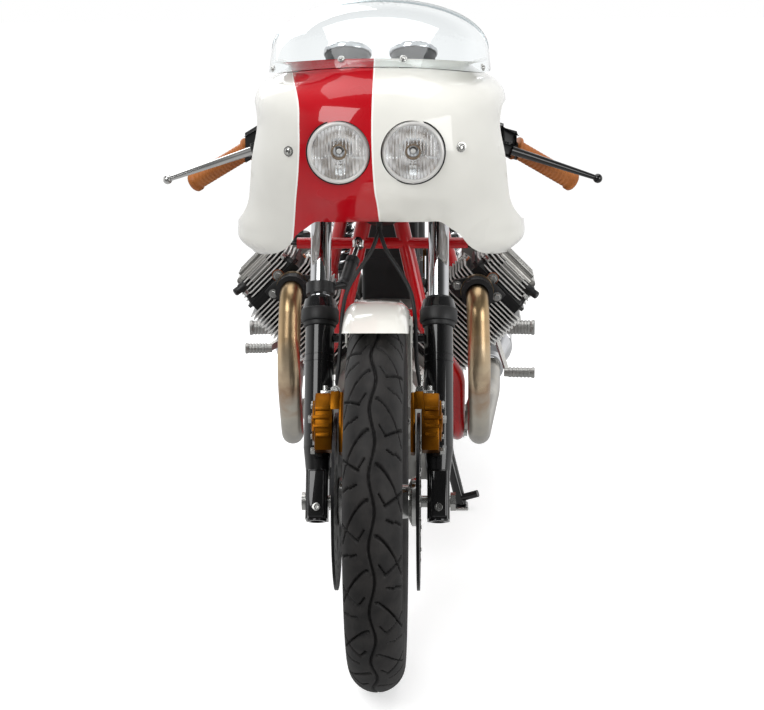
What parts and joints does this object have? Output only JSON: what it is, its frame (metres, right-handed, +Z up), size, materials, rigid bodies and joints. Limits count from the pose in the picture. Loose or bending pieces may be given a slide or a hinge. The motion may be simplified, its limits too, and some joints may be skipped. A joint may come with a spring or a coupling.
{
  "type": "half-faired cafe racer motorcycle",
  "caption": "Cafe racer motorcycle with a half fairing, bubble screen, twin lamps, transverse V-twin and low clip-on bars, on its centre stand",
  "frame": {"origin": "on the ground, midway between the foremost and rearmost points of the tyres, on the centre plane", "axes": "+Z up, front towards -Y, +X towards the rider's left"},
  "size_m": [0.79, 2.1269, 1.1357],
  "materials": {
    "red_paint": "gloss red paint",
    "white_paint": "gloss off-white paint",
    "black_enamel": "gloss black enamel",
    "cast_aluminium": "blasted cast aluminium",
    "fin_aluminium": "machined fins",
    "heat_tinted_steel": "heat tinted steel",
    "black_plastic": "matt black",
    "clear_acrylic": "clear screen",
    "tan_leather": "tan leather",
    "gold_anodised": "gold anodised",
    "chrome": "polished",
    "lamp_chrome": "polished rim and reflector",
    "hose_rubber": "black hose",
    "damper_grey": "dark grey anodised",
    "tan_grip": "tan grips on black bars",
    "tyre": "black rubber"
  },
  "bodies": {
    "chassis": {"frame": "red_paint", "swingarm": "black_enamel", "bevel_box": "cast_aluminium", "crankcase": "cast_aluminium", "gearbox": "cast_aluminium", "headers": "heat_tinted_steel", "battery_box": "black_plastic", "fairing": "white_paint", "windscreen": "clear_acrylic", "tank": "white_paint", "seat": "tan_leather", "tail": "white_paint", "rear_mudguard": "white_paint", "rear_caliper": "gold_anodised", "cylinder_left": "fin_aluminium", "cylinder_right": "fin_aluminium", "carburettor_left": "cast_aluminium", "carburettor_right": "cast_aluminium", "muffler_left": "chrome", "muffler_right": "chrome", "headlight_left": "lamp_chrome", "headlight_right": "lamp_chrome", "shock_left": "black_enamel", "shock_right": "black_enamel", "rearset_left": "cast_aluminium", "rearset_right": "cast_aluminium"},
    "steering": {"fork_yokes": "black_enamel", "front_axle": "chrome", "front_mudguard": "white_paint", "instruments": "black_plastic", "brake_hoses": "hose_rubber", "steering_damper": "damper_grey", "fork_leg_left": "black_enamel", "fork_leg_right": "black_enamel", "fork_tube_left": "chrome", "fork_tube_right": "chrome", "caliper_left": "gold_anodised", "caliper_right": "gold_anodised", "clip_on_left": "tan_grip", "clip_on_right": "tan_grip"},
    "front_wheel": {"front_tyre": "tyre", "front_wheel": "black_enamel"},
    "rear_wheel": {"rear_tyre": "tyre", "rear_wheel": "black_enamel"},
    "stand": {"centre_stand": "black_enamel"}
  },
  "joints": [
    {"name": "steering", "type": "hinge", "parent": "chassis", "child": "steering", "pos_m": [0, -0.39576, 0.85898], "axis": [0, 0.4617, 0.887], "range_deg": [-26, 26]},
    {"name": "front_wheel_spin", "type": "hinge", "parent": "steering", "child": "front_wheel", "pos_m": [0, -0.7445, 0.319], "axis": [1, 0, 0], "continuous": true},
    {"name": "rear_wheel_spin", "type": "hinge", "parent": "chassis", "child": "rear_wheel", "pos_m": [0, 0.7305, 0.353], "axis": [1, 0, 0], "continuous": true},
    {"name": "stand_fold", "type": "hinge", "parent": "chassis", "child": "stand", "pos_m": [0, 0.215, 0.262], "axis": [1, 0, 0], "range_deg": [0, 95]}
  ]
}
